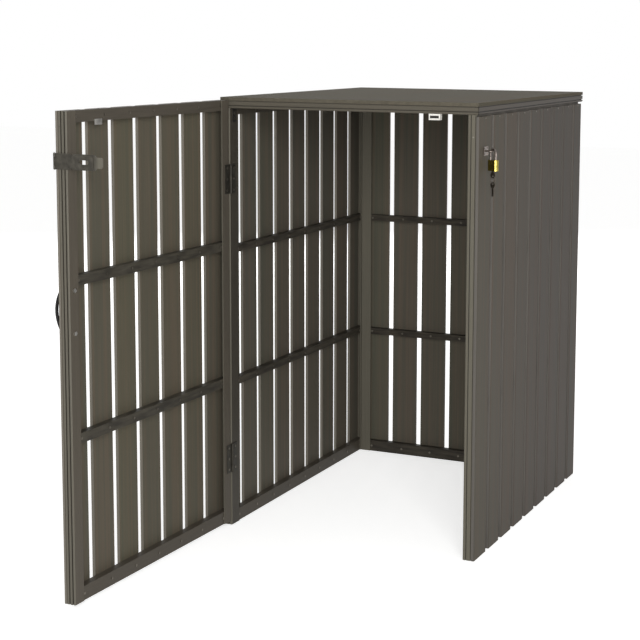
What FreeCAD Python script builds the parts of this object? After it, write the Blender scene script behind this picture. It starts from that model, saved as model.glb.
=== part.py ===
import FreeCAD, Part
import math
import os
import Sketcher

# Wheelie bin store: three slatted walls, a flat roof and one slatted door.
# Millimetres. X runs to the right, Y to the back and Z up. The origin is on the
# ground, at mid width, in the middle of the rear wall's thickness.

doc = FreeCAD.newDocument("bin_store")
sheet = doc.addObject("Spreadsheet::Sheet", "sizes")

DRIVING_SIZES = [
    # the whole store
    ("store_width", 756),
    ("store_depth", 900),
    ("store_height", 1200),
    ("panel_thickness", 32),
    ("roof_thickness", 30),
    ("roof_inset", 3),
    ("roof_overhang", 25),
    ("mitre_gap", 2),
    # the framed panels
    ("board_thickness", 9),
    ("board_lip", 7),
    ("board_bevel", 1.2),
    ("board_gap", 23),
    ("rear_board_gap", 17),
    ("front_board", 89),
    ("rear_end_board", 70.5),
    ("rear_wall_end_board", 88),
    ("door_free_board", 89.5),
    ("door_hinge_board", 86),
    ("shadow_gap", 5),
    ("flange_thickness", 2.5),
    ("front_flange", 42),
    ("rear_flange", 34),
    ("door_flange", 35),
    ("edge_chamfer", 2),
    ("edge_slit", 1.5),
    ("edge_rib", 6.2),
    ("edge_groove", 3.4),
    ("wall_slit", 2.5),
    ("wall_rib", 10),
    ("wall_groove", 2.5),
    ("groove_depth", 3),
    ("tube_wall", 2),
    ("top_rail", 19),
    ("bottom_rail", 35),
    ("mid_rail", 20),
    ("upper_rail_at", 779),
    ("lower_rail_at", 404),
    # the door
    ("door_below", 13),
    ("door_top_gap", 8),
    ("door_overhang", 2),
    ("door_face_gap", 3),
    ("door_edge_gap", 4),
    ("open_angle", 91.6),
    ("door_top_rail", 28),
    ("door_bottom_rail", 35),
    ("door_mid_rail", 25),
    ("door_upper_rail_at", 793),
    ("door_lower_rail_at", 413),
    # the roof
    ("roof_board", 9),
    ("roof_flange", 45),
    # the two butt hinges
    ("hinge_height", 80),
    ("hinge_leaf", 27),
    ("hinge_plate", 1.8),
    ("knuckle_radius", 3),
    ("pin_radius", 1.5),
    ("running_clearance", 0.05),
    ("knuckle_gap", 0.4),
    ("upper_hinge_at", 977),
    ("lower_hinge_at", 194),
    ("hinge_screw_step", 30.5),
    ("hinge_screw_line", 17.5),
    ("pin_head_radius", 2.4),
    ("pin_head_height", 1),
    # screws
    ("screw_head_radius", 3.4),
    ("screw_head_height", 1.2),
    ("screw_shank_radius", 1.6),
    ("screw_past_flange", 5),
    ("small_screw_radius", 2),
    ("small_screw_height", 0.8),
    ("door_high_screw_drop", 36),
    ("door_low_screw_drop", 312),
    ("wall_edge_screw_drop", 57),
    # the hasp and the staple
    ("hasp_drop", 116),
    ("hasp_height", 37),
    ("hasp_plate", 2.5),
    ("hasp_leaf", 46),
    ("hasp_reach", 102.5),
    ("hasp_shoulder", 9),
    ("hasp_dent_length", 6),
    ("hasp_dent_depth", 4),
    ("hasp_neck_at", 80),
    ("hasp_neck_length", 5),
    ("hasp_boss_margin", 3.5),
    ("hasp_boss_height", 1),
    ("hasp_tongue", 25),
    ("hasp_slot_at", 50),
    ("hasp_slot_length", 27),
    ("hasp_slot_height", 10),
    ("hasp_slot_corner", 2.75),
    ("hasp_tip_corner", 6),
    ("hasp_edge_gap", 1.2),
    ("hasp_screw_margin", 9.5),
    ("hasp_middle_screw", 20),
    ("staple_length", 31),
    ("staple_height", 23),
    ("staple_plate", 1.5),
    ("staple_wire", 1.75),
    ("staple_span", 18),
    ("staple_reach", 21.5),
    ("staple_screw_height", 1),
    ("staple_screw_inset", 4),
    # the padlock and its keys
    ("shackle_wire", 2.5),
    ("shackle_radius", 9.5),
    ("shackle_drop", 24),
    ("shackle_seat", 9),
    ("seat_clearance", 0.1),
    ("lock_width", 30),
    ("lock_height", 28),
    ("lock_depth", 14),
    ("lock_corner", 3),
    ("lock_turn", 24),
    ("key_bow_radius", 8),
    ("key_plate", 2),
    ("key_eye_radius", 3),
    ("key_eye_offset", 3.5),
    ("key_neck", 3),
    ("key_blade", 21),
    ("key_blade_width", 6),
    ("ring_radius", 8),
    ("ring_wire", 1),
    # the bow handle
    ("handle_at", 721),
    ("handle_edge", 19),
    ("handle_bolts", 102),
    ("handle_span", 112),
    ("handle_reach", 20),
    ("handle_bar", 4),
    ("handle_foot_radius", 9),
    ("handle_foot_height", 5),
    ("bolt_head_radius", 5),
    ("bolt_head_height", 2.5),
    # the magnet catch and the strike plate
    ("catch_from_side", 123),
    ("catch_width", 31),
    ("catch_height", 16),
    ("catch_depth", 14),
    ("catch_air", 1),
    ("catch_wall", 3),
    ("magnet_height", 7),
    ("magnet_depth", 3),
    ("magnet_recess", 1),
    ("strike_width", 29),
    ("strike_height", 14),
    ("strike_plate", 2.5),
    # the roof brackets
    ("bracket_width", 16),
    ("bracket_leg", 38),
    ("bracket_arm", 24),
    ("bracket_plate", 2),
    ("bracket_from_edge", 15),
    ("bracket_first_screw", 14.5),
    ("bracket_second_screw", 29.5),
]

SIDE_BOARDS = 9
REAR_BOARDS = 7
DOOR_BOARDS = 7
DOOR_RIBS = 3
WALL_RIBS = 2


class Size:
    """A length or an angle, with the sheet's expression that it is bound to."""

    def __init__(self, value, text):
        self.value = float(value)
        self.text = text

    def join(self, other, mark, value):
        return Size(value, "(%s %s %s)" % (self.text, mark, other.text))

    def __add__(self, other):
        other = as_size(other)
        return self.join(other, "+", self.value + other.value)

    def __radd__(self, other):
        return as_size(other) + self

    def __sub__(self, other):
        other = as_size(other)
        return self.join(other, "-", self.value - other.value)

    def __rsub__(self, other):
        return as_size(other) - self

    def __mul__(self, other):
        other = as_size(other)
        return self.join(other, "*", self.value * other.value)

    def __rmul__(self, other):
        return as_size(other) * self

    def __truediv__(self, other):
        other = as_size(other)
        return self.join(other, "/", self.value / other.value)

    def __neg__(self):
        return 0 - self


def as_size(number):
    if isinstance(number, Size):
        return number
    return Size(number, "(%r)" % float(number))


def cosine(angle):
    return Size(math.cos(math.radians(angle.value)), "cos(%s)" % angle.text)


def sine(angle):
    return Size(math.sin(math.radians(angle.value)), "sin(%s)" % angle.text)


def diagonal(one, two):
    return Size(math.hypot(one.value, two.value), "hypot(%s; %s)" % (one.text, two.text))


size = {}
for row, (alias, number) in enumerate(DRIVING_SIZES, start=1):
    sheet.set("A%d" % row, alias.replace("_", " "))
    sheet.set("B%d" % row, str(number))
    sheet.setAlias("B%d" % row, alias)
    size[alias] = Size(number, "sizes." + alias)
doc.recompute()

NOTHING = as_size(0)
nodes = []


class Spot:
    """Where a piece's own axes sit in the store: a point and a turn about Z."""

    def __init__(self, x, y, z, turn):
        self.x, self.y, self.z, self.turn = [as_size(s) for s in (x, y, z, turn)]

    def within(self, x, y, z=0, turn=0):
        x, y = as_size(x), as_size(y)
        across = x * cosine(self.turn) - y * sine(self.turn)
        along = x * sine(self.turn) + y * cosine(self.turn)
        return Spot(self.x + across, self.y + along, self.z + z, self.turn + turn)


STORE = Spot(0, 0, 0, 0)


def put(piece, spot):
    at = "vector(%s; %s; %s)" % (spot.x.text, spot.y.text, spot.z.text)
    turn = "rotation(vector(0; 0; 1); %s)" % spot.turn.text
    piece.setExpression("Placement", "placement(%s; %s)" % (at, turn))


def finish(piece, label, spot=STORE):
    """Names a sub-part, puts it in its place and lists it for export."""
    piece.Label = label
    put(piece, spot)
    nodes.append(piece)
    return piece


def new_body(label):
    body = doc.addObject("PartDesign::Body", label + "_body")
    body.AllowCompound = True
    return body


def bind(sketch, kind, geometry, point, length):
    index = sketch.addConstraint(Sketcher.Constraint(kind, -1, 1, geometry, point, length.value))
    sketch.setExpression("Constraints[%d]" % index, length.text)


def draw_outline(sketch, outline):
    """Draws one closed outline of straight sides, each corner bound to the sheet."""
    corners = [(as_size(x), as_size(y)) for x, y in outline]
    first = sketch.GeometryCount
    count = len(corners)
    for k in range(count):
        start = corners[k]
        end = corners[(k + 1) % count]
        side = Part.LineSegment(FreeCAD.Vector(start[0].value, start[1].value, 0),
                                FreeCAD.Vector(end[0].value, end[1].value, 0))
        sketch.addGeometry(side, False)
    for k in range(count):
        after = first + (k + 1) % count
        sketch.addConstraint(Sketcher.Constraint("Coincident", first + k, 2, after, 1))
        bind(sketch, "DistanceX", first + k, 1, corners[k][0])
        bind(sketch, "DistanceY", first + k, 1, corners[k][1])


def draw_circle(sketch, circle):
    x, y, radius = [as_size(s) for s in circle]
    ring = Part.Circle(FreeCAD.Vector(x.value, y.value, 0), FreeCAD.Vector(0, 0, 1), radius.value)
    index = sketch.addGeometry(ring, False)
    bind(sketch, "DistanceX", index, 3, x)
    bind(sketch, "DistanceY", index, 3, y)
    bound = sketch.addConstraint(Sketcher.Constraint("Radius", index, radius.value))
    sketch.setExpression("Constraints[%d]" % bound, radius.text)


def extrude(body, kind, plane, start, length, outlines=(), circles=()):
    """Adds or cuts a straight extrusion that runs from start towards the positive axis.

    The outlines are given in XY, XZ or YZ, as the plane's name says.
    """
    role = plane + "_Plane"
    support = [face for face in body.Origin.OriginFeatures if face.Role == role][0]
    sketch = body.newObject("Sketcher::SketchObject", "sketch")
    sketch.AttachmentSupport = [(support, "")]
    sketch.MapMode = "FlatFace"
    start = as_size(start)
    length = as_size(length)
    offset = -start if plane == "XZ" else start
    sketch.AttachmentOffset = FreeCAD.Placement(FreeCAD.Vector(0, 0, offset.value), FreeCAD.Rotation())
    sketch.setExpression("AttachmentOffset.Base.z", offset.text)
    for outline in outlines:
        draw_outline(sketch, outline)
    for circle in circles:
        draw_circle(sketch, circle)
    feature = body.newObject("PartDesign::" + kind, kind.lower())
    feature.Profile = sketch
    feature.Length = length.value
    feature.setExpression("Length", length.text)
    against_normal = plane == "XZ"
    feature.Reversed = against_normal if kind == "Pad" else not against_normal
    sketch.Visibility = False
    return feature


def box_outline(x0, x1, y0, y1):
    return [(x0, y0), (x1, y0), (x1, y1), (x0, y1)]


def clipped_outline(x0, x1, y0, y1, corner):
    """A rectangle with its four corners cut off."""
    return [(x0 + corner, y0), (x1 - corner, y0), (x1, y0 + corner), (x1, y1 - corner),
            (x1 - corner, y1), (x0 + corner, y1), (x0, y1 - corner), (x0, y0 + corner)]


def plain_box(body, x0, x1, y0, y1, z0, z1):
    return extrude(body, "Pad", "XY", z0, as_size(z1) - z0, [box_outline(x0, x1, y0, y1)])


def cylinder(name, radius, height, x, y, z, axis="Z"):
    """A cylinder along X, Y or Z, from the given centre of its first end."""
    radius, height, x, y, z = [as_size(s) for s in (radius, height, x, y, z)]
    rod = doc.addObject("Part::Cylinder", name)
    rod.setExpression("Radius", radius.text)
    rod.setExpression("Height", height.text)
    turns = {"X": "vector(0; 1; 0); 90", "Y": "vector(1; 0; 0); -90", "Z": "vector(0; 0; 1); 0"}
    at = "vector(%s; %s; %s)" % (x.text, y.text, z.text)
    rod.setExpression("Placement", "placement(%s; rotation(%s))" % (at, turns[axis]))
    return rod


def fuse(name, pieces):
    joined = doc.addObject("Part::MultiFuse", name)
    joined.Shapes = pieces
    joined.Refine = True
    return joined


def group(name, pieces):
    compound = doc.addObject("Part::Compound", name)
    compound.Links = pieces
    return compound


# Derived places that several pieces share

half_width = size["store_width"] / 2
thick = size["panel_thickness"]
back_y = thick / 2
front_y = back_y - size["store_depth"]
wall_height = size["store_height"] - size["roof_thickness"]
inner_x = half_width - thick
frame_face = thick - size["flange_thickness"]
web = size["groove_depth"] + size["flange_thickness"]
hinge_offset = size["knuckle_radius"]
axis_x = hinge_offset - inner_x
axis_y = front_y + hinge_offset - size["door_face_gap"]
door_start = size["door_edge_gap"] + hinge_offset - size["door_face_gap"]
door_length = half_width + size["door_overhang"] - axis_x - door_start
door_outer = -(hinge_offset + thick)
door_top = size["store_height"] - size["door_top_gap"]
hasp_middle = door_top - size["hasp_drop"]
door_end = door_start + door_length

LEFT = Spot(-half_width, back_y, 0, -90)
RIGHT = Spot(half_width, front_y, 0, 90)
REAR = Spot(inner_x, back_y, 0, 180)
DOOR = Spot(axis_x, axis_y, 0, -size["open_angle"])
WALL_HINGE = Spot(axis_x, axis_y, 0, 90)


# How the boards and ribs follow each other on a profile's outer side: the board's edge,
# the slit behind it, a rib, a groove and the number of ribs
DOOR_EDGE = (size["board_lip"], size["edge_slit"], size["edge_rib"], size["edge_groove"], DOOR_RIBS)
WALL_EDGE = (size["board_thickness"], size["wall_slit"], size["wall_rib"], size["wall_groove"], WALL_RIBS)
ROOF_EDGE = (size["roof_board"], size["wall_slit"], size["wall_rib"], size["wall_groove"], WALL_RIBS)


def ribbed_angle(at, inward, start, edge, depth, flange):
    """The section of an extruded edge profile: a web with outer ribs and a flange.

    at is the panel's end, inward is 1 or -1 towards the panel's middle, and start is
    the outer face. The web begins behind the boards and the flange lies at the inside.
    """
    def point(along, deep):
        return (at + inward * as_size(along), start + deep)

    board, slit, rib, groove, count = edge
    sunk = size["groove_depth"]
    low = board + slit
    outline = [point(sunk, board), point(sunk, low), point(0, low)]
    for k in range(count - 1):
        high = low + rib
        low = high + groove
        outline += [point(0, high), point(sunk, high), point(sunk, low), point(0, low)]
    chamfer = size["edge_chamfer"]
    flange_back = depth - size["flange_thickness"]
    outline += [point(0, depth - chamfer), point(chamfer, depth), point(flange, depth),
                point(flange, flange_back), point(web, flange_back), point(web, board)]
    return outline


def board_outline(low, high, face):
    """A board's section, with its two outer edges bevelled."""
    bevel = size["board_bevel"]
    back = face + size["board_thickness"]
    return [(low + bevel, face), (high - bevel, face), (high, face + bevel), (high, back),
            (low, back), (low, face + bevel)]


def end_board_outline(end, inner, face, inward):
    """The section of a panel's end board, which is rebated to lie over the stile's web."""
    bevel = size["board_bevel"]
    back = face + size["board_thickness"]
    lip = face + size["board_lip"]
    step = end + inward * web
    return [(end, face + bevel), (end, lip), (step, lip), (step, back), (inner, back),
            (inner, face + bevel), (inner - inward * bevel, face), (end + inward * bevel, face)]


def board_rows(start, length, first, last, gap, count):
    """The two edges of each board: end boards as given, the rest spread between them."""
    pitch = (length - first - last - gap) / (count - 2)
    rows = [(start, start + first)]
    for k in range(count - 2):
        edge = start + first + gap + pitch * k
        rows.append((edge, edge + pitch - gap))
    rows.append((start + length - last, start + length))
    return rows


def make_boards(label, spot, rows, edge, face, bottom, top):
    body = new_body(label)
    outlines = [board_outline(low, high, face) for low, high in rows]
    if edge is DOOR_EDGE:
        outlines[0] = end_board_outline(rows[0][0], rows[0][1], face, 1)
        outlines[-1] = end_board_outline(rows[-1][1], rows[-1][0], face, -1)
    extrude(body, "Pad", "XY", bottom, top - bottom, outlines)
    return finish(body, label, spot)


def make_stile(label, spot, at, inward, face, edge, flange, bottom, top):
    body = new_body(label)
    outline = ribbed_angle(at, inward, face, edge, thick, flange)
    extrude(body, "Pad", "XY", bottom, top - bottom, [outline])
    return finish(body, label, spot)


def make_rail(label, spot, low_x, high_x, face, bottom, top):
    """A square tube behind the boards, housed between the webs of the two stiles."""
    body = new_body(label)
    wall = size["tube_wall"]
    near = face + size["board_thickness"]
    far = face + frame_face
    section = [box_outline(near, far, bottom, top),
               box_outline(near + wall, far - wall, bottom + wall, top - wall)]
    extrude(body, "Pad", "YZ", low_x + web, high_x - low_x - 2 * web, section)
    return finish(body, label, spot)


def make_board_screws(label, spot, rows, flanges, face, heights):
    """One pan head on each rail's inner side for every board, just past the flange on an end board."""
    body = new_body(label)
    past_flange = size["screw_past_flange"]
    places = [(low + high) / 2 for low, high in rows]
    places[0] = rows[0][0] + flanges[0] + past_flange
    places[-1] = rows[-1][1] - flanges[1] - past_flange
    circles = [(place, height, size["screw_head_radius"]) for place in places for height in heights]
    extrude(body, "Pad", "XZ", face + frame_face, size["screw_head_height"], circles=circles)
    put(body, spot)
    return body


def make_panel(name, spot, low_x, length, face, edge, rows, flanges, rails, bottom, frame_top, board_top):
    """A framed panel in its own axes: X along it, Y inwards from its outer face.

    Returns the screws that hold its boards, still without a name.
    """
    high_x = low_x + length
    make_boards(name + "_boards", spot, rows, edge, face, bottom, board_top)
    for label, at, inward, flange in flanges:
        make_stile(label, spot, at, inward, face, edge, flange, bottom, frame_top)
    for label, low, high in rails:
        make_rail(label, spot, low_x, high_x, face, low, high)
    heights = [(low + high) / 2 for label, low, high in rails]
    widths = [flange for label, at, inward, flange in flanges]
    return make_board_screws(name + "_board_screws", spot, rows, widths, face, heights)


def wall_rails(name):
    half_rail = size["mid_rail"] / 2
    upper = size["upper_rail_at"]
    lower = size["lower_rail_at"]
    return [(name + "_top_rail", wall_height - size["top_rail"], wall_height),
            (name + "_upper_rail", upper - half_rail, upper + half_rail),
            (name + "_lower_rail", lower - half_rail, lower + half_rail),
            (name + "_bottom_rail", NOTHING, size["bottom_rail"])]


def outer_screws(spot, rows, face, height):
    """One small head on the outer face of every board of a wall."""
    body = new_body("outer_screws")
    radius = size["small_screw_radius"]
    tall = size["small_screw_height"]
    circles = [((low + high) / 2, height, radius) for low, high in rows]
    extrude(body, "Pad", "XZ", face - tall, tall, circles=circles)
    put(body, spot)
    return body


def edge_screws(spot, end, inward, face, edge, heights):
    """Small heads on the rib nearest to the boards, at a panel's end."""
    body = new_body("edge_screws")
    tall = size["small_screw_height"]
    board, slit, rib, groove, count = edge
    place = face + board + slit + rib / 2
    circles = [(place, height, size["small_screw_radius"]) for height in heights]
    start = end - tall if inward > 0 else end
    extrude(body, "Pad", "YZ", start, tall, circles=circles)
    put(body, spot)
    return body


def make_walls():
    board_top = wall_height - size["shadow_gap"]
    depth = size["store_depth"]
    gap = size["board_gap"]
    rear_rows = board_rows(NOTHING, depth, size["rear_end_board"], size["front_board"], gap, SIDE_BOARDS)
    left_ends = [("left_wall_rear_stile", NOTHING, 1, size["rear_flange"]),
                 ("left_wall_front_stile", depth, -1, size["front_flange"])]
    left_screws = make_panel("left_wall", LEFT, NOTHING, depth, NOTHING, WALL_EDGE, rear_rows,
                             left_ends, wall_rails("left_wall"), NOTHING, wall_height, board_top)
    front_rows = board_rows(NOTHING, depth, size["front_board"], size["rear_end_board"], gap, SIDE_BOARDS)
    right_ends = [("right_wall_front_stile", NOTHING, 1, size["front_flange"]),
                  ("right_wall_rear_stile", depth, -1, size["rear_flange"])]
    right_screws = make_panel("right_wall", RIGHT, NOTHING, depth, NOTHING, WALL_EDGE, front_rows,
                              right_ends, wall_rails("right_wall"), NOTHING, wall_height, board_top)
    clear_width = 2 * inner_x
    end_board = size["rear_wall_end_board"]
    rows = board_rows(NOTHING, clear_width, end_board, end_board, size["rear_board_gap"], REAR_BOARDS)
    rear_ends = [("rear_wall_right_stile", NOTHING, 1, size["rear_flange"]),
                 ("rear_wall_left_stile", clear_width, -1, size["rear_flange"])]
    rear_screws = make_panel("rear_wall", REAR, NOTHING, clear_width, NOTHING, WALL_EDGE, rows, rear_ends,
                             wall_rails("rear_wall"), NOTHING, wall_height, board_top)
    finish(group("wall_screw_heads", [left_screws, right_screws, rear_screws]), "wall_board_screws")
    at = wall_height - size["top_rail"] / 2
    outer = [outer_screws(LEFT, rear_rows, NOTHING, at), outer_screws(RIGHT, front_rows, NOTHING, at),
             outer_screws(REAR, rows, NOTHING, at)]
    heights = [wall_height - size["wall_edge_screw_drop"]]
    edges = [edge_screws(LEFT, depth, -1, NOTHING, WALL_EDGE, heights),
             edge_screws(RIGHT, NOTHING, 1, NOTHING, WALL_EDGE, heights)]
    finish(group("outer_heads", outer + edges), "outer_wall_screws")


def make_door():
    low = size["door_below"]
    high = door_top
    half_rail = size["door_mid_rail"] / 2
    upper = size["door_upper_rail_at"]
    lower = size["door_lower_rail_at"]
    rails = [("door_top_rail", high - size["door_top_rail"], high),
             ("door_upper_rail", upper - half_rail, upper + half_rail),
             ("door_lower_rail", lower - half_rail, lower + half_rail),
             ("door_bottom_rail", low, low + size["door_bottom_rail"])]
    ends = [("door_hinge_stile", door_start, 1, size["door_flange"]),
            ("door_free_stile", door_end, -1, size["door_flange"])]
    rows = board_rows(door_start, door_length, size["door_hinge_board"], size["door_free_board"],
                      size["board_gap"], DOOR_BOARDS)
    screws = make_panel("door", DOOR, door_start, door_length, door_outer, DOOR_EDGE, rows, ends, rails,
                        low, high, high)
    heights = [door_top - size["door_high_screw_drop"], door_top - size["door_low_screw_drop"]]
    edge = edge_screws(DOOR, door_end, -1, door_outer, DOOR_EDGE, heights)
    finish(group("door_screw_heads", [screws, edge]), "door_board_screws")


def make_fascia(label, spot, length):
    """One side of the roof's edge frame, mitred at both ends, with its outer face at Y = 0."""
    body = new_body(label)
    top = size["store_height"]
    drop = ribbed_angle(NOTHING, 1, NOTHING, ROOF_EDGE, size["roof_thickness"], size["roof_flange"])
    section = [(along, top - deep) for along, deep in drop]
    extrude(body, "Pad", "YZ", 0, length, [section])
    reach = size["roof_flange"] + size["roof_thickness"]
    near = size["mitre_gap"] / 2
    far = length - near
    beyond = length + reach
    ends = [[(near, NOTHING), (near + reach, reach), (-reach, reach), (-reach, NOTHING)],
            [(far, NOTHING), (beyond, NOTHING), (beyond, reach), (far - reach, reach)]]
    extrude(body, "Pocket", "XY", wall_height - reach, size["roof_thickness"] + 2 * reach, ends)
    return finish(body, label, spot)


def make_roof():
    side = half_width - size["roof_inset"]
    rear = back_y + size["roof_overhang"]
    run = rear - front_y
    body = new_body("roof_panel")
    top = size["store_height"]
    plain_box(body, -side, side, front_y, rear, top - size["roof_board"], top)
    finish(body, "roof_panel")
    make_fascia("front_fascia", Spot(-side, front_y, 0, 0), 2 * side)
    make_fascia("right_fascia", Spot(side, front_y, 0, 90), run)
    make_fascia("rear_fascia", Spot(side, rear, 0, 180), 2 * side)
    make_fascia("left_fascia", Spot(-side, rear, 0, -90), run)


def make_brackets():
    """Four angle brackets that tie the roof's frame to the side walls' stiles."""
    width = size["bracket_width"]
    plate = size["bracket_plate"]
    low = wall_height - size["bracket_leg"]
    top = wall_height - plate
    inset = size["bracket_from_edge"]
    rear_face = back_y - size["panel_thickness"]
    starts = [front_y + inset, rear_face - width]
    brackets = []
    screws = []
    for side in (-1, 1):
        for start in starts:
            wall = side * inner_x
            arm = wall - side * size["bracket_arm"]
            angle = [(wall, wall_height), (arm, wall_height), (arm, top),
                     (wall - side * plate, top), (wall - side * plate, low), (wall, low)]
            body = new_body("bracket")
            extrude(body, "Pad", "XZ", start, width, [angle])
            brackets.append(body)
            inner_side = wall - side * plate
            head = inner_side if side < 0 else inner_side - size["screw_head_height"]
            for drop in (size["bracket_first_screw"], size["bracket_second_screw"]):
                screws.append(cylinder("bracket_screw", size["screw_head_radius"],
                                       size["screw_head_height"], head, start + width / 2,
                                       wall_height - drop, "X"))
    finish(group("brackets", brackets), "roof_brackets")
    finish(group("bracket_heads", screws), "bracket_screws")


def knuckled_plate(body, outline, face, plate, knuckles, bore, radius):
    """A plate in XZ with rolled knuckles round the Z axis, bored for the pin."""
    extrude(body, "Pad", "XZ", face, plate, [outline])
    for low, high in knuckles:
        extrude(body, "Pad", "XY", low, high - low, circles=[(0, 0, radius)])
    low = knuckles[0][0]
    high = knuckles[-1][1]
    extrude(body, "Pocket", "XY", low - radius, high - low + 2 * radius, circles=[(0, 0, bore)])


def hinge_pin(low, high):
    """A pin with a head at each end, round the Z axis; low and high are the knuckles' ends."""
    gap = size["knuckle_gap"]
    head = size["pin_head_height"]
    return fuse("hinge_pin", [
        cylinder("pin", size["pin_radius"], high - low + 2 * gap, 0, 0, low - gap),
        cylinder("pin_head", size["pin_head_radius"], head, 0, 0, high + gap),
        cylinder("pin_foot", size["pin_head_radius"], head, 0, 0, low - gap - head)])


def make_hinge(name, middle):
    """A butt hinge: two leaves with interleaved knuckles, and the pin between them."""
    half = size["hinge_height"] / 2
    third = size["hinge_height"] / 6
    gap = size["knuckle_gap"]
    radius = size["knuckle_radius"]
    plate = size["hinge_plate"]
    bore = size["pin_radius"] + size["running_clearance"]
    root = radius + gap
    leaf = size["hinge_leaf"]
    low, high = middle - half, middle + half
    low_third, high_third = middle - third, middle + third
    wall_knuckles = [(low, low_third - gap), (high_third + gap, high)]
    wall_outline = [(NOTHING, low), (leaf, low), (leaf, high), (NOTHING, high),
                    (NOTHING, high_third + gap), (root, high_third + gap),
                    (root, low_third - gap), (NOTHING, low_third - gap)]
    door_knuckles = [(low_third, high_third)]
    door_outline = [(root, low), (leaf, low), (leaf, high), (root, high), (root, high_third),
                    (gap, high_third), (gap, low_third), (root, low_third)]
    made = {}
    for part, spot, outline, knuckles, face in (
            ("wall", WALL_HINGE, wall_outline, wall_knuckles, radius - plate),
            ("door", DOOR, door_outline, door_knuckles, -radius)):
        body = new_body(name + "_hinge_" + part + "_leaf")
        knuckled_plate(body, outline, face, plate, knuckles, bore, radius)
        places = [(size["hinge_screw_line"], middle + size["hinge_screw_step"] * k) for k in (-1, 0, 1)]
        hole = size["screw_shank_radius"] + size["running_clearance"]
        extrude(body, "Pocket", "XZ", face - plate, 3 * plate, circles=[(x, z, hole) for x, z in places])
        put(body, spot)
        made[part + "_leaf"] = [body]
        made[part + "_screws"] = [hinge_screw(x, z, face, plate, part == "wall") for x, z in places]
    made["pin"] = [hinge_pin(low, high)]
    return made


def hinge_screw(x, z, face, plate, from_low_side):
    """A screw whose head lies on the leaf and whose shank passes through it."""
    height = size["screw_head_height"]
    under_head = face - height if from_low_side else face + plate
    head = cylinder("head", size["screw_head_radius"], height, x, under_head, z, "Y")
    shank = cylinder("shank", size["screw_shank_radius"], plate, x, face, z, "Y")
    return fuse("hinge_screw", [head, shank])


def make_hinges():
    upper = make_hinge("upper", size["upper_hinge_at"])
    lower = make_hinge("lower", size["lower_hinge_at"])
    for kind, label, spot in (("wall_leaf", "hinge_wall_leaves", STORE),
                              ("door_leaf", "hinge_door_leaves", STORE),
                              ("pin", "hinge_pins", WALL_HINGE),
                              ("wall_screws", "hinge_wall_screws", WALL_HINGE),
                              ("door_screws", "hinge_door_screws", DOOR)):
        finish(group(label + "_parts", upper[kind] + lower[kind]), label, spot)


def make_hasp():
    """The hasp on the door's free edge: a fixed leaf, a pin and the slotted strap."""
    radius = size["knuckle_radius"]
    plate = size["hasp_plate"]
    gap = size["knuckle_gap"]
    bore = size["pin_radius"] + size["running_clearance"]
    axis = DOOR.within(door_end + size["hasp_edge_gap"] + plate - radius, door_outer - radius)
    middle = hasp_middle
    half = size["hasp_height"] / 2
    low, high = middle - half, middle + half
    band = size["hasp_height"] / 4
    root = radius + gap
    leaf = size["hasp_leaf"]
    outline = [(-leaf, low), (NOTHING, low), (NOTHING, low + band - gap), (-root, low + band - gap),
               (-root, high - band + gap), (NOTHING, high - band + gap), (NOTHING, high), (-leaf, high)]
    body = new_body("hasp_leaf")
    knuckled_plate(body, outline, radius - plate, plate,
                   [(low, low + band - gap), (high - band + gap, high)], bore, radius)
    finish(body, "hasp_leaf", axis)
    margin = size["hasp_screw_margin"]
    places = [(margin - leaf, low + margin), (margin - leaf, high - margin),
              (NOTHING - size["hasp_middle_screw"], middle)]
    under_head = radius - plate - size["screw_head_height"]
    heads = [cylinder("hasp_screw", size["screw_head_radius"], size["screw_head_height"],
                      x, under_head, z, "Y") for x, z in places]
    finish(group("hasp_heads", heads), "hasp_screws", axis)
    finish(hinge_pin(low, high), "hasp_pin", axis)

    inner_face = -hinge_offset - (door_outer - radius)
    reach = inner_face + size["hasp_reach"]
    shoulder = inner_face + size["hasp_shoulder"]
    half_tongue = size["hasp_tongue"] / 2
    dent = shoulder + size["hasp_dent_length"]
    broad = dent + size["hasp_dent_length"]
    depth = size["hasp_dent_depth"]
    broad_end = inner_face + size["hasp_neck_at"]
    neck = broad_end + size["hasp_neck_length"]
    tongue_low, tongue_high = middle - half_tongue, middle + half_tongue
    tip = size["hasp_tip_corner"]
    band_low, band_high = low + band, high - band
    outline = [(NOTHING, band_low), (root, band_low), (root, low), (shoulder, low), (dent, low + depth),
               (broad, low), (broad_end, low), (neck, tongue_low), (reach - tip, tongue_low),
               (reach, tongue_low + tip), (reach, tongue_high - tip), (reach - tip, tongue_high),
               (neck, tongue_high), (broad_end, high), (broad, high), (dent, high - depth),
               (shoulder, high), (root, high), (root, band_high), (NOTHING, band_high)]
    body = new_body("hasp_strap")
    knuckled_plate(body, outline, -radius, plate, [(band_low, band_high)], bore, radius)
    corners = [(reach - tip, tongue_low + tip, tip), (reach - tip, tongue_high - tip, tip)]
    extrude(body, "Pad", "XZ", -radius, plate, circles=corners)
    margin = size["hasp_boss_margin"]
    rise = size["hasp_boss_height"]
    boss = clipped_outline(broad + margin, broad_end - margin, low + margin, high - margin, margin)
    extrude(body, "Pad", "XZ", -radius - rise, rise, [boss])
    slot_x = inner_face + size["hasp_slot_at"]
    half_slot = size["hasp_slot_length"] / 2
    half_tall = size["hasp_slot_height"] / 2
    slot = clipped_outline(slot_x - half_slot, slot_x + half_slot, middle - half_tall,
                           middle + half_tall, size["hasp_slot_corner"])
    extrude(body, "Pocket", "XZ", -radius - plate, 3 * plate, [slot])
    finish(body, "hasp_strap", Spot(axis.x, axis.y, axis.z, axis.turn + 90))


staple_y = front_y + size["hasp_slot_at"] - size["door_face_gap"]
bend_x = half_width + size["staple_plate"] + size["staple_reach"] - size["staple_span"] / 2


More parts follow.
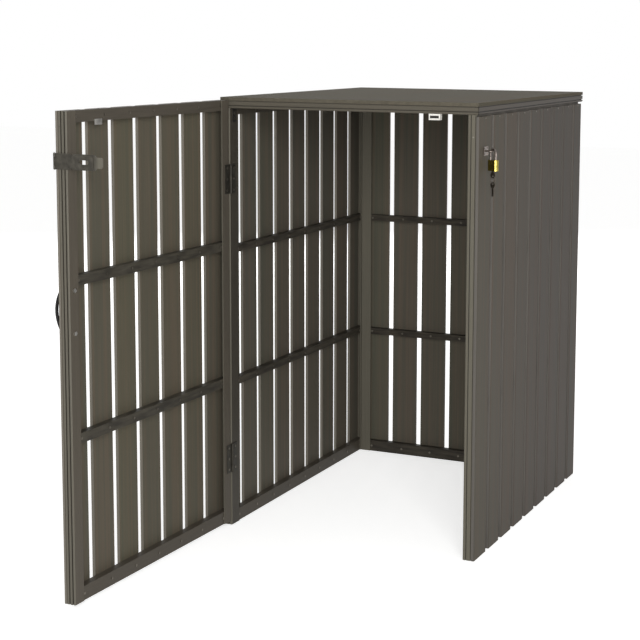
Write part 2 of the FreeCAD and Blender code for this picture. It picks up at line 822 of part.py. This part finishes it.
def make_staple():
    """The staple on the right wall: a plate with a bent wire eye, and its screws."""
    half_long = size["staple_length"] / 2
    half_tall = size["staple_height"] / 2
    middle = hasp_middle
    wire = size["staple_wire"]
    half_span = size["staple_span"] / 2
    face = half_width + size["staple_plate"]
    leg = size["staple_reach"] - half_span
    body = new_body("staple_plate")
    plain_box(body, half_width, face, staple_y - half_long, staple_y + half_long,
              middle - half_tall, middle + half_tall)
    finish(body, "staple_plate")
    bend = doc.addObject("Part::Torus", "staple_bend")
    bend.setExpression("Radius1", half_span.text)
    bend.setExpression("Radius2", wire.text)
    bend.Angle3 = 180
    centre = "vector(%s; %s; %s)" % ((face + leg).text, staple_y.text, middle.text)
    bend.setExpression("Placement", "placement(%s; rotation(vector(0; 0; 1); -90))" % centre)
    legs = [cylinder("staple_leg", wire, leg, face, staple_y + side * half_span, middle, "X")
            for side in (-1, 1)]
    finish(fuse("staple_wire_parts", [bend] + legs), "staple_eye")
    inset = size["staple_screw_inset"]
    corners = [(along, up) for along in (inset - half_long, half_long - inset)
               for up in (inset - half_tall, half_tall - inset)]
    heads = [cylinder("staple_screw", size["small_screw_radius"], size["staple_screw_height"],
                      face, staple_y + along, middle + up, "X") for along, up in corners]
    finish(group("staple_heads", heads), "staple_screws")


shackle_top = hasp_middle + size["staple_wire"] + size["seat_clearance"]
lock_top = shackle_top - size["shackle_drop"]
lock_bottom = lock_top - size["lock_height"]
BEND = Spot(bend_x, staple_y, 0, -size["lock_turn"])
LOCK = BEND.within(size["staple_span"] / 2, 0)


def make_padlock():
    """The padlock hangs by its shackle from the staple's eye."""
    wire = size["shackle_wire"]
    radius = size["shackle_radius"]
    centre_z = shackle_top - (radius - wire)
    half_wide = size["lock_width"] / 2
    half_deep = size["lock_depth"] / 2
    body = new_body("padlock_body")
    outline = clipped_outline(-half_wide, half_wide, -half_deep, half_deep, size["lock_corner"])
    extrude(body, "Pad", "XY", lock_bottom, size["lock_height"], [outline])
    seat = wire + size["seat_clearance"]
    seat_floor = lock_top - size["shackle_seat"] - size["seat_clearance"]
    extrude(body, "Pocket", "XY", seat_floor, size["shackle_seat"] + wire,
            circles=[(-radius, 0, seat), (radius, 0, seat)])
    finish(body, "padlock_body", LOCK)
    arch = doc.addObject("Part::Torus", "shackle_arch")
    arch.setExpression("Radius1", radius.text)
    arch.setExpression("Radius2", wire.text)
    arch.Angle3 = 180
    at = "vector(0; 0; %s)" % centre_z.text
    arch.setExpression("Placement", "placement(%s; rotation(vector(1; 0; 0); 90))" % at)
    low = lock_top - size["shackle_seat"]
    legs = [cylinder("shackle_leg", wire, centre_z - low, side * radius, 0, low) for side in (-1, 1)]
    finish(fuse("shackle_parts", [arch] + legs), "padlock_shackle", LOCK)


def make_key(label, bow_z, blade_low, blade_high, eye_z):
    """A flat key: a round bow with an eye, and a blade above or below it."""
    plate = size["key_plate"]
    half_blade = size["key_blade_width"] / 2
    start = -plate / 2
    body = new_body(label)
    extrude(body, "Pad", "XZ", start, plate, circles=[(0, bow_z, size["key_bow_radius"])])
    extrude(body, "Pad", "XZ", start, plate,
            [box_outline(-half_blade, half_blade, blade_low, blade_high)])
    extrude(body, "Pocket", "XZ", start - plate, 3 * plate,
            circles=[(0, eye_z, size["key_eye_radius"])])
    return finish(body, label, LOCK)


# The ring's wire stands off the middle of the key's rim by the rim's own half diagonal,
# so that it can swing round the rim without touching it.
key_rim = size["key_bow_radius"] - size["key_eye_offset"] - size["key_eye_radius"]
rim_to_wire = diagonal(key_rim / 2, size["key_plate"] / 2) + size["seat_clearance"] + size["ring_wire"]
wire_from_eye = size["key_eye_radius"] + key_rim / 2 - rim_to_wire
lock_key_bow = lock_bottom - size["key_neck"] - size["key_bow_radius"]
lock_key_eye = lock_key_bow - size["key_eye_offset"]
ring_z = lock_key_eye - wire_from_eye - size["ring_radius"]
spare_eye = ring_z - size["ring_radius"] - wire_from_eye
spare_bow = spare_eye - size["key_eye_offset"]


def make_keys():
    make_key("lock_key", lock_key_bow, lock_key_bow + size["key_eye_offset"], lock_bottom, lock_key_eye)
    tip = spare_bow - size["key_bow_radius"] - size["key_blade"]
    make_key("spare_key", spare_bow, tip, spare_bow - size["key_eye_offset"], spare_eye)
    ring = doc.addObject("Part::Torus", "ring")
    ring.setExpression("Radius1", size["ring_radius"].text)
    ring.setExpression("Radius2", size["ring_wire"].text)
    at = "vector(0; 0; %s)" % ring_z.text
    ring.setExpression("Placement", "placement(%s; rotation(vector(0; 1; 0); 90))" % at)
    finish(group("ring_part", [ring]), "key_ring", LOCK)


def make_handle():
    """A bow handle of round bar on the door's outer face, with two feet and two bolts."""
    half_span = size["handle_span"] / 2
    reach = size["handle_reach"]
    bar = size["handle_bar"]
    radius = (half_span * half_span + reach * reach) / (2 * reach)
    x = door_end - size["handle_edge"]
    middle = size["handle_at"]
    hoop = doc.addObject("Part::Torus", "handle_hoop")
    hoop.setExpression("Radius1", radius.text)
    hoop.setExpression("Radius2", bar.text)
    centre_y = door_outer + radius - reach
    at = "vector(%s; %s; %s)" % (x.text, centre_y.text, middle.text)
    hoop.setExpression("Placement", "placement(%s; rotation(vector(0; 1; 0); 90))" % at)
    front = new_body("handle_front")
    far = door_outer - 2 * reach
    plain_box(front, x - 2 * bar, x + 2 * bar, far, door_outer,
              middle - half_span - 2 * bar, middle + half_span + 2 * bar)
    bow = doc.addObject("Part::Common", "handle_bow")
    bow.Base = hoop
    bow.Tool = front
    feet = []
    bolts = []
    for side in (-1, 1):
        foot_z = middle + side * size["handle_bolts"] / 2
        feet.append(cylinder("handle_foot", size["handle_foot_radius"], size["handle_foot_height"],
                             x, door_outer - size["handle_foot_height"], foot_z, "Y"))
        bolts.append(cylinder("handle_bolt", size["bolt_head_radius"], size["bolt_head_height"],
                              x, -hinge_offset, foot_z, "Y"))
    finish(fuse("handle_parts", [bow] + feet), "door_handle", DOOR)
    finish(group("handle_bolt_heads", bolts), "handle_bolts", DOOR)


def make_catch():
    """The magnet catch under the roof's front edge, and the strike plate on the door."""
    middle = half_width - size["catch_from_side"]
    half = size["catch_width"] / 2
    low = wall_height - size["catch_height"]
    front = front_y - size["door_face_gap"] + size["catch_air"]
    rear = front + size["catch_depth"]
    half_magnet = size["magnet_height"] / 2
    magnet_z = (low + wall_height) / 2
    wall = size["catch_wall"]
    magnet_front = front + size["magnet_recess"]
    depth = size["magnet_depth"]
    opening = box_outline(middle - half + wall, middle + half - wall,
                          magnet_z - half_magnet, magnet_z + half_magnet)
    body = new_body("magnet_catch")
    plain_box(body, middle - half, middle + half, front, rear, low, wall_height)
    extrude(body, "Pocket", "XZ", magnet_front - depth, 2 * depth, [opening])
    finish(body, "magnet_catch")
    body = new_body("catch_magnet")
    extrude(body, "Pad", "XZ", magnet_front, depth, [opening])
    finish(body, "catch_magnet")
    strike_x = middle - axis_x
    half = size["strike_width"] / 2
    face = door_outer + frame_face
    body = new_body("strike_plate")
    plain_box(body, strike_x - half, strike_x + half, face, face + size["strike_plate"],
              magnet_z - size["strike_height"] / 2, magnet_z + size["strike_height"] / 2)
    finish(body, "strike_plate", DOOR)


make_walls()
make_roof()
make_brackets()
make_door()
make_hinges()
make_hasp()
make_staple()
make_padlock()
make_keys()
make_handle()
make_catch()
doc.recompute()

for thing in doc.Objects:
    if "Invalid" in thing.State or "Error" in thing.State:
        raise RuntimeError("%s (%s) did not compute" % (thing.Name, thing.Label))
for node in nodes:
    if node.Shape.isNull() or not node.Shape.isValid() or not node.Shape.Solids:
        raise RuntimeError("%s has no valid solid" % node.Label)

os.makedirs("parts", exist_ok=True)
for node in nodes:
    node.Shape.exportStep("parts/%s.step" % node.Label)
print("%d sub-parts, %d solids" % (len(nodes), sum(len(node.Shape.Solids) for node in nodes)))
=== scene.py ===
import math

import bpy
from mathutils import Matrix, Vector

# Looks of the slatted bin store. Metres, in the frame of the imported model.

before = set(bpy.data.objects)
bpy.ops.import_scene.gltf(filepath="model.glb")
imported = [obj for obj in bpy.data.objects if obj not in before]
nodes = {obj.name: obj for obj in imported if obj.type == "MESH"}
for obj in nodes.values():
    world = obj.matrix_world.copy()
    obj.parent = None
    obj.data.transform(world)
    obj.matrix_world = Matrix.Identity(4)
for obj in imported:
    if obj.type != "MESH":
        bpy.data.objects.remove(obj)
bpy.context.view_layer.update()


def srgb(red, green, blue):
    """A linear colour from screen values of 0 to 255."""
    linear = []
    for value in (red, green, blue):
        part = value / 255
        linear.append(part / 12.92 if part <= 0.04045 else ((part + 0.055) / 1.055) ** 2.4)
    return (*linear, 1.0)


def grey(value):
    """A linear grey, which mostly multiplies another colour."""
    return (value, value, value, 1.0)


# Camera, from the picture's vanishing lines. Lengths in the picture are in pixels.

PICTURE = 640
FOCAL = 1523.3
MOVED_RIGHT = 60
MOVED_UP = 100
CAMERA_AT = Vector((1.7089, -4.5151, 1.3671))
AZIMUTH = math.radians(23.852)
ELEVATION = math.radians(6.884)
ROLL = math.radians(0.325)
SENSOR_WIDTH = 36
CLIP_END = 100


def make_camera():
    forward = Vector((-math.sin(AZIMUTH) * math.cos(ELEVATION),
                      math.cos(AZIMUTH) * math.cos(ELEVATION), -math.sin(ELEVATION)))
    level = Vector((math.cos(AZIMUTH), math.sin(AZIMUTH), 0))
    upward = level.cross(forward)
    right = math.cos(ROLL) * level + math.sin(ROLL) * upward
    top = math.cos(ROLL) * upward - math.sin(ROLL) * level
    lens = bpy.data.cameras.new("camera")
    lens.sensor_width = SENSOR_WIDTH
    lens.lens = FOCAL * SENSOR_WIDTH / PICTURE
    lens.shift_x = -MOVED_RIGHT / PICTURE
    lens.shift_y = -MOVED_UP / PICTURE
    lens.clip_end = CLIP_END
    camera = bpy.data.objects.new("camera", lens)
    axes = Matrix((right, top, -forward)).transposed()
    camera.matrix_world = Matrix.Translation(CAMERA_AT) @ axes.to_4x4()
    bpy.context.scene.collection.objects.link(camera)
    bpy.context.scene.camera = camera


make_camera()
bpy.context.scene.view_settings.view_transform = "Standard"


# The mix node has sockets of the same name for each kind of value, and these are the ones for colours
MIX_AMOUNT = 0
MIX_FIRST = 6
MIX_SECOND = 7
MIX_RESULT = 2

# How far a face may turn from an axis and still look along it, as a cosine
FACING_LEAST = 0.85
# Reach and samples of the ambient occlusion that paints shade deep in grooves
GROOVE_REACH = 0.005
GROOVE_SAMPLES = 8


class Surface:
    """A material with its node tree and a few short ways to add nodes."""

    def __init__(self, name, roughness=0.6, metallic=0.0, specular=0.3):
        self.material = bpy.data.materials.new(name)
        self.material.use_nodes = True
        self.tree = self.material.node_tree
        self.shader = self.tree.nodes["Principled BSDF"]
        self.shader.inputs["Roughness"].default_value = roughness
        self.shader.inputs["Metallic"].default_value = metallic
        self.shader.inputs["Specular IOR Level"].default_value = specular

    def add(self, kind, **settings):
        node = self.tree.nodes.new(kind)
        for key, value in settings.items():
            setattr(node, key, value)
        return node

    def link(self, source, target):
        self.tree.links.new(source, target)

    def place(self):
        """The point of the surface in the frame's axes, which rides with its body."""
        return self.add("ShaderNodeTexCoord").outputs["Object"]

    def axis(self, name):
        """The surface's place along one axis of the frame."""
        split = self.add("ShaderNodeSeparateXYZ")
        self.link(self.place(), split.inputs[0])
        return split.outputs[name]

    def math(self, operation, first, second=0.0, clamp=False):
        node = self.add("ShaderNodeMath", operation=operation, use_clamp=clamp)
        for socket, value in zip(node.inputs, (first, second)):
            if isinstance(value, (int, float)):
                socket.default_value = value
            else:
                self.link(value, socket)
        return node.outputs[0]

    def facing(self, name):
        """1 on faces that look along an axis of the frame at rest, 0 on the others and on bevels."""
        split = self.add("ShaderNodeSeparateXYZ")
        self.link(self.add("ShaderNodeTexCoord").outputs["Normal"], split.inputs[0])
        turned = self.math("ABSOLUTE", split.outputs[name])
        return self.math("GREATER_THAN", turned, FACING_LEAST)

    def hollows(self):
        """Ambient occlusion for painted shade: 0 deep in the piece's own grooves, 1 on its open faces."""
        node = self.add("ShaderNodeAmbientOcclusion", samples=GROOVE_SAMPLES, only_local=True)
        node.inputs["Distance"].default_value = GROOVE_REACH
        return node.outputs["AO"]

    def noise(self, stretch, detail=3.0, roughness=0.55):
        """Noise with a number of grains per metre along X, Y and Z."""
        spread = self.add("ShaderNodeVectorMath", operation="MULTIPLY")
        self.link(self.place(), spread.inputs[0])
        spread.inputs[1].default_value = stretch
        node = self.add("ShaderNodeTexNoise")
        node.inputs["Scale"].default_value = 1.0
        node.inputs["Detail"].default_value = detail
        node.inputs["Roughness"].default_value = roughness
        self.link(spread.outputs[0], node.inputs["Vector"])
        return node.outputs["Fac"]

    def board_number(self, along, step, first):
        """The number of each board, from the pitch of the gaps and the place of the first one."""
        return self.math("FLOOR", self.math("DIVIDE", self.math("SUBTRACT", along, first), step))

    def random(self, number):
        """A value from 0 to 1 that goes with a whole number."""
        node = self.add("ShaderNodeTexWhiteNoise", noise_dimensions="1D")
        self.link(number, node.inputs["W"])
        return node.outputs["Value"]

    def ramp(self, value, stops):
        node = self.add("ShaderNodeValToRGB")
        line = node.color_ramp
        while len(line.elements) < len(stops):
            line.elements.new(0.5)
        for element, (position, colour) in zip(line.elements, stops):
            element.position = position
            element.color = colour
        self.link(value, node.inputs[0])
        return node.outputs[0]

    def mix(self, amount, first, second, blend="MIX"):
        node = self.add("ShaderNodeMix", data_type="RGBA", blend_type=blend)
        for index, value in ((MIX_AMOUNT, amount), (MIX_FIRST, first), (MIX_SECOND, second)):
            if isinstance(value, (int, float, tuple)):
                node.inputs[index].default_value = value
            else:
                self.link(value, node.inputs[index])
        return node.outputs[MIX_RESULT]

    def times(self, first, second):
        """One colour multiplied by another."""
        return self.mix(1.0, first, second, blend="MULTIPLY")

    def span(self, value, low, high):
        """Maps 0 to 1 onto low to high."""
        node = self.add("ShaderNodeMapRange")
        self.link(value, node.inputs["Value"])
        node.inputs["To Min"].default_value = low
        node.inputs["To Max"].default_value = high
        return node.outputs[0]

    def colour(self, value):
        if isinstance(value, tuple):
            self.shader.inputs["Base Color"].default_value = value
        else:
            self.link(value, self.shader.inputs["Base Color"])

    def rough(self, value, low, high):
        self.link(self.span(value, low, high), self.shader.inputs["Roughness"])

    def bump(self, height, distance, strength):
        node = self.add("ShaderNodeBump")
        node.inputs["Distance"].default_value = distance
        node.inputs["Strength"].default_value = strength
        self.link(height, node.inputs["Height"])
        self.link(node.outputs[0], self.shader.inputs["Normal"])


# Composite boards: a muted olive brown with fine grain along the board

SIDE_BOARDS = 9
WALL_GAP = -0.7835
WALL_STEP = 0.1025
REAR_GAP = 0.0499
REAR_STEP = 0.0998
DOOR_GAP = -0.9855
DOOR_STEP = 0.10406

# The roof is one sheet, so its only step is longer than the roof
ROOF_GAP = 1.0
ROOF_STEP = 4.0

INNER_TONES = (srgb(88, 83, 74), srgb(88, 85, 73), srgb(86, 82, 74), srgb(90, 83, 73))
DOOR_TONES = (srgb(86, 81, 70), srgb(87, 83, 69), srgb(84, 79, 70), srgb(89, 81, 70))
GREY_TONES = (srgb(78, 72, 62), srgb(75, 69, 62), srgb(72, 66, 61), srgb(70, 65, 60))
ROOF_TONES = (srgb(84, 79, 68), srgb(84, 80, 68), srgb(82, 78, 68), srgb(86, 80, 69))
TONE_STOPS = (0.0, 0.35, 0.65, 1.0)
SAWN = srgb(112, 107, 98)
SAWN_GREY = srgb(94, 90, 85)
SAWN_ROOF = srgb(90, 85, 74)
WARMER = (1.05, 0.97, 0.93, 1)
GREENER = (0.96, 1.02, 1.0, 1)

# Grains per metre along X, Y and Z
BOARD_GRAIN = (420, 420, 3.5)
ROOF_GRAIN = (420, 4, 420)
BOARD_PATCHES = (9, 9, 1.4)
PATCH_AMOUNT = 0.35

# Streaks are a coarser grain, and the two together make the board's light and dark lines
STREAK_GRAIN = 0.2
FINE_SHARE = 0.45
STREAK_SHARE = 0.55
STREAK_HUES = [(0.38, grey(0)), (0.62, grey(1))]
BOARD_CONTRAST = [(0.36, grey(0.84)), (0.64, grey(1.14))]


def board_surface(name, axis, step, first, grain=BOARD_GRAIN, tones=INNER_TONES, specular=0.2,
                  sawn=SAWN, ordered=False):
    """Boards whose sawn sides, which look along the axis, differ from the brushed faces.

    Each board has a tone of its own, and an ordered wall goes through the tones from front to back.
    """
    made = Surface(name, roughness=0.62, specular=specular)
    number = made.board_number(made.axis(axis), step, first)
    each = made.math("DIVIDE", number, SIDE_BOARDS - 1) if ordered else made.random(number)
    tone = made.ramp(each, list(zip(TONE_STOPS, tones)))
    patch = made.noise(BOARD_PATCHES, detail=2.0)
    tone = made.mix(made.span(patch, 0.0, PATCH_AMOUNT), tone, tones[-1])
    fine = made.noise(grain, detail=4.0, roughness=0.6)
    streak = made.noise(tuple(g * STREAK_GRAIN for g in grain))
    warmer = made.times(tone, WARMER)
    greener = made.times(tone, GREENER)
    tone = made.mix(made.ramp(streak, STREAK_HUES), greener, warmer)
    both = made.math("ADD", made.math("MULTIPLY", fine, FINE_SHARE),
                     made.math("MULTIPLY", streak, STREAK_SHARE))
    value = made.ramp(both, BOARD_CONTRAST)
    made.colour(made.mix(made.facing(axis), made.times(tone, value), made.times(sawn, value)))
    made.rough(both, low=0.5, high=0.75)
    made.bump(both, distance=0.0003, strength=0.5)
    return made.material


# Extruded edge profiles and rails: the same composite, smoother

PROFILE_WARMTH = (1.05, 0.98, 0.9)
PROFILE_PATCHES = (6, 6, 3)
WARM_AMOUNT = 0.6
PROFILE_CONTRAST = [(0.3, grey(0.86)), (0.7, grey(1.1))]
# Painted shade deep in grooves, from ambient occlusion
PAINTED_GROOVE_SHADE = [(0.35, grey(0.4)), (0.85, grey(1))]
# Painted reflection: mottled light and dark patches on the rails
SHEEN_PATCH_CONTRAST = [(0.36, (0.62, 0.62, 0.63, 1)), (0.64, (1.42, 1.42, 1.4, 1))]
# Painted shade on the faces of the front uprights that look into the store, darkest on the left wall
WALL_FLANGE_SHADE = (0.4, 0.38, 0.37, 1)
DOOR_FLANGE_SHADE = (0.72, 0.67, 0.65, 1)

# Grains, and patches of painted reflection, per metre, named after the axis that the profile runs along
UPRIGHT_GRAIN = (500, 500, 5)
EDGE_GRAIN_X = (5, 500, 500)
EDGE_GRAIN_Y = (500, 5, 500)
RAIL_GRAIN_X = (5, 300, 300)
RAIL_GRAIN_Y = (300, 5, 300)
SHEEN_PATCHES_X = (12, 90, 90)
SHEEN_PATCHES_Y = (90, 12, 90)
WHITE_GRAIN = (200, 200, 200)
BLACK_GRAIN = (300, 300, 300)


def profile_surface(name, tone, grain, grooved=False, flange_shade=None, sheen_patches=None):
    """A profile, with painted shade in its grooves where it has some.

    flange_shade is the colour of the painted shade that darkens its faces towards the inside of the
    store, and sheen_patches is the number of mottled patches of painted reflection per metre along X, Y
    and Z.
    """
    made = Surface(name, roughness=0.5, specular=0.2)
    fine = made.noise(grain)
    patch = made.noise(PROFILE_PATCHES, detail=2.0)
    value = made.ramp(fine, PROFILE_CONTRAST)
    warm = tuple(c * w for c, w in zip(tone, PROFILE_WARMTH)) + (1.0,)
    base = made.mix(made.span(patch, 0.0, WARM_AMOUNT), tone, warm)
    base = made.times(base, value)
    if grooved:
        # painted shade: grooves darkened by their own ambient occlusion
        base = made.times(base, made.ramp(made.hollows(), PAINTED_GROOVE_SHADE))
    # painted reflection: mottled light and dark patches
    if sheen_patches is not None:
        base = made.times(base, made.ramp(made.noise(sheen_patches), SHEEN_PATCH_CONTRAST))
    # painted shade on the faces that look along X, into the store
    if flange_shade is not None:
        base = made.mix(made.facing("X"), base, made.times(base, flange_shade))
    made.colour(base)
    made.rough(fine, low=0.42, high=0.62)
    made.bump(fine, distance=0.0002, strength=0.4)
    return made.material


# Metal parts, and where the tip of the hasp's strap has a painted highlight

METAL_GRAIN = (900, 900, 900)
SCUFF_CLOUDS = (60, 60, 60)
SCUFF_STOPS = (0.3, 0.7)
SMOOTHEST = 0.75
ROUGHEST = 1.3
# The painted highlight on the tip of the hasp's strap: where it begins, how far it fades in, and its pale
# colour
HASP_HIGHLIGHT_FROM = -0.287
HIGHLIGHT_LENGTH = 0.012
PAINTED_HIGHLIGHT = srgb(108, 104, 93)


def metal_surface(name, tone, roughness, metallic=1.0, scuffs=0.25, highlight_from=None):
    """Metal with soft scuffs. highlight_from is the place along X from where a painted highlight turns
    the paint pale.
    """
    made = Surface(name, roughness=roughness, metallic=metallic, specular=0.5)
    speck = made.noise(METAL_GRAIN)
    cloud = made.noise(SCUFF_CLOUDS)
    low = tuple(c * (1 - scuffs) for c in tone[:3]) + (1.0,)
    high = tuple(min(1.0, c * (1 + scuffs)) for c in tone[:3]) + (1.0,)
    shade = made.ramp(cloud, list(zip(SCUFF_STOPS, (low, high))))
    # painted highlight: the tip of the hasp's strap turns pale along X
    if highlight_from is not None:
        past = made.math("SUBTRACT", made.axis("X"), highlight_from)
        highlit = made.math("MULTIPLY", past, 1 / HIGHLIGHT_LENGTH, clamp=True)
        shade = made.mix(highlit, shade, PAINTED_HIGHLIGHT)
    made.colour(shade)
    made.rough(cloud, low=roughness * SMOOTHEST, high=min(1.0, roughness * ROUGHEST))
    made.bump(speck, distance=0.00008, strength=0.5)
    return made.material


left_boards = board_surface("left_boards", "Y", WALL_STEP, WALL_GAP)
right_boards = board_surface("right_boards", "Y", WALL_STEP, WALL_GAP - WALL_STEP, tones=GREY_TONES,
                             sawn=SAWN_GREY, ordered=True)
rear_boards = board_surface("rear_boards", "X", REAR_STEP, REAR_GAP)
door_boards = board_surface("door_boards", "Y", DOOR_STEP, DOOR_GAP, tones=DOOR_TONES)
roof_board = board_surface("roof_board", "Y", ROOF_STEP, ROOF_GAP, grain=ROOF_GRAIN, tones=ROOF_TONES,
                           specular=0.05, sawn=SAWN_ROOF)

upright = profile_surface("upright_profile", srgb(97, 94, 84), UPRIGHT_GRAIN, grooved=True)
upright_left = profile_surface("upright_profile_left", srgb(97, 94, 84), UPRIGHT_GRAIN, grooved=True,
                               flange_shade=WALL_FLANGE_SHADE)
door_upright = profile_surface("door_upright_profile", srgb(95, 92, 83), UPRIGHT_GRAIN, grooved=True,
                               flange_shade=DOOR_FLANGE_SHADE)
edge_front = profile_surface("edge_front", srgb(85, 81, 72), EDGE_GRAIN_X, grooved=True)
edge_side = profile_surface("edge_side", srgb(72, 67, 61), EDGE_GRAIN_Y, grooved=True)
rail = profile_surface("rail_profile", srgb(58, 54, 47), RAIL_GRAIN_Y, sheen_patches=SHEEN_PATCHES_Y)
rail_door = profile_surface("rail_profile_door", srgb(61, 58, 51), RAIL_GRAIN_Y, sheen_patches=SHEEN_PATCHES_Y)
rail_edge = profile_surface("rail_profile_edge", srgb(74, 69, 61), RAIL_GRAIN_Y)
rail_rear = profile_surface("rail_profile_rear", srgb(58, 54, 47), RAIL_GRAIN_X, sheen_patches=SHEEN_PATCHES_X)

dark_steel = metal_surface("dark_steel", srgb(52, 50, 47), roughness=0.5, metallic=0.6)
hasp_steel = metal_surface("hasp_steel", srgb(70, 67, 60), roughness=0.35, metallic=0.7, scuffs=0.4,
                           highlight_from=HASP_HIGHLIGHT_FROM)
black_steel = metal_surface("black_steel", srgb(54, 51, 44), roughness=0.5, metallic=0.6, scuffs=0.4)
lock_steel = metal_surface("lock_steel", srgb(122, 113, 107), roughness=0.3, scuffs=0.45)
zinc_steel = metal_surface("zinc_steel", srgb(126, 122, 114), roughness=0.45)
strike_steel = metal_surface("strike_steel", srgb(205, 203, 198), roughness=0.3)
screw_steel = metal_surface("screw_steel", srgb(108, 103, 94), roughness=0.45)
key_steel = metal_surface("key_steel", srgb(84, 79, 72), roughness=0.4, scuffs=0.35)
brass = metal_surface("brass", srgb(158, 144, 72), roughness=0.22, scuffs=0.3)
white_plastic = profile_surface("white_plastic", srgb(226, 226, 222), WHITE_GRAIN)
black_plastic = profile_surface("black_plastic", srgb(20, 20, 20), BLACK_GRAIN)

LOOKS = {
    "left_wall_boards": left_boards, "right_wall_boards": right_boards,
    "rear_wall_boards": rear_boards, "door_boards": door_boards, "roof_panel": roof_board,
    "left_wall_front_stile": upright_left,
    "door_hinge_stile": door_upright, "door_free_stile": door_upright,
    "door_upper_rail": rail_door, "door_lower_rail": rail_door,
    "front_fascia": edge_front, "rear_fascia": edge_front,
    "left_fascia": edge_side, "right_fascia": edge_side,
    "wall_board_screws": screw_steel, "door_board_screws": screw_steel, "outer_wall_screws": zinc_steel,
    "roof_brackets": dark_steel, "bracket_screws": screw_steel,
    "hinge_wall_leaves": black_steel, "hinge_door_leaves": black_steel, "hinge_pins": black_steel,
    "hinge_wall_screws": screw_steel, "hinge_door_screws": screw_steel,
    "hasp_leaf": hasp_steel, "hasp_pin": hasp_steel, "hasp_screws": screw_steel, "hasp_strap": hasp_steel,
    "staple_plate": lock_steel, "staple_eye": lock_steel, "staple_screws": lock_steel,
    "padlock_body": brass, "padlock_shackle": lock_steel,
    "lock_key": key_steel, "spare_key": key_steel, "key_ring": key_steel,
    "magnet_catch": white_plastic, "catch_magnet": dark_steel, "strike_plate": strike_steel,
    "door_handle": black_plastic, "handle_bolts": strike_steel,
}

# The rails at the top and bottom of the door and the side walls look paler than the middle ones
EDGE_RAILS = tuple(panel + place for panel in ("door", "left_wall", "right_wall")
                   for place in ("_top_rail", "_bottom_rail"))


def look_of(label):
    """The material of a piece, by its own name or else by its kind of stile or rail."""
    if label in LOOKS:
        return LOOKS[label]
    if label.endswith("_stile"):
        return upright
    if label in EDGE_RAILS:
        return rail_edge
    return rail_rear if label.startswith("rear") else rail


for label, node in nodes.items():
    node.data.materials.clear()
    node.data.materials.append(look_of(label))


# Floor, light and the white surroundings

FLOOR_HALF = 14.0
FLOOR_DROP = 0.0005
FLOOR_GLOW = 0.62
WHITE = (1, 1, 1, 1)
SKY_LIGHT = 0.38
SKY_SEEN = 1.0


def make_floor():
    """A pale floor that looks white to the camera and in reflections, and keeps its shadows."""
    mesh = bpy.data.meshes.new("floor")
    corners = [(x * FLOOR_HALF, y * FLOOR_HALF, 0) for x, y in ((-1, -1), (1, -1), (1, 1), (-1, 1))]
    mesh.from_pydata(corners, [], [(0, 1, 2, 3)])
    floor = bpy.data.objects.new("floor", mesh)
    floor.location.z = -FLOOR_DROP
    bpy.context.scene.collection.objects.link(floor)
    made = Surface("floor", roughness=0.9, specular=0.1)
    made.colour(srgb(243, 243, 242))
    seen = made.add("ShaderNodeLightPath")
    either = made.math("MAXIMUM", seen.outputs["Is Camera Ray"], seen.outputs["Is Glossy Ray"])
    made.shader.inputs["Emission Color"].default_value = WHITE
    made.link(made.math("MULTIPLY", either, FLOOR_GLOW), made.shader.inputs["Emission Strength"])
    mesh.materials.append(made.material)


def make_world():
    """A world that is white where it is seen, and dimmer as a light."""
    world = bpy.data.worlds.new("surroundings")
    world.use_nodes = True
    bpy.context.scene.world = world
    tree = world.node_tree
    background = tree.nodes["Background"]
    background.inputs["Color"].default_value = WHITE
    path = tree.nodes.new("ShaderNodeLightPath")
    sees = tree.nodes.new("ShaderNodeMath")
    sees.operation = "MAXIMUM"
    tree.links.new(path.outputs["Is Camera Ray"], sees.inputs[0])
    tree.links.new(path.outputs["Is Glossy Ray"], sees.inputs[1])
    strength = tree.nodes.new("ShaderNodeMapRange")
    strength.inputs["To Min"].default_value = SKY_LIGHT
    strength.inputs["To Max"].default_value = SKY_SEEN
    tree.links.new(sees.outputs[0], strength.inputs["Value"])
    tree.links.new(strength.outputs[0], background.inputs["Strength"])


def make_lamp(name, place, aim, wide, power, glints=True):
    """A square soft lamp of so many metres and watts, which can be kept out of reflections."""
    light = bpy.data.lights.new(name, "AREA")
    light.shape = "SQUARE"
    light.size = wide
    light.energy = power
    lamp = bpy.data.objects.new(name, light)
    lamp.location = place
    lamp.rotation_euler = (Vector(aim) - Vector(place)).to_track_quat("-Z", "Y").to_euler()
    lamp.visible_glossy = glints
    bpy.context.scene.collection.objects.link(lamp)


make_floor()
make_world()
make_lamp("key", place=(2.3, -5.2, 1.85), aim=(0, -0.6, 0.5), wide=2.5, power=196)
make_lamp("back", place=(-2.6, 4.4, 2.4), aim=(0, -0.4, 0.6), wide=3.0, power=135, glints=False)
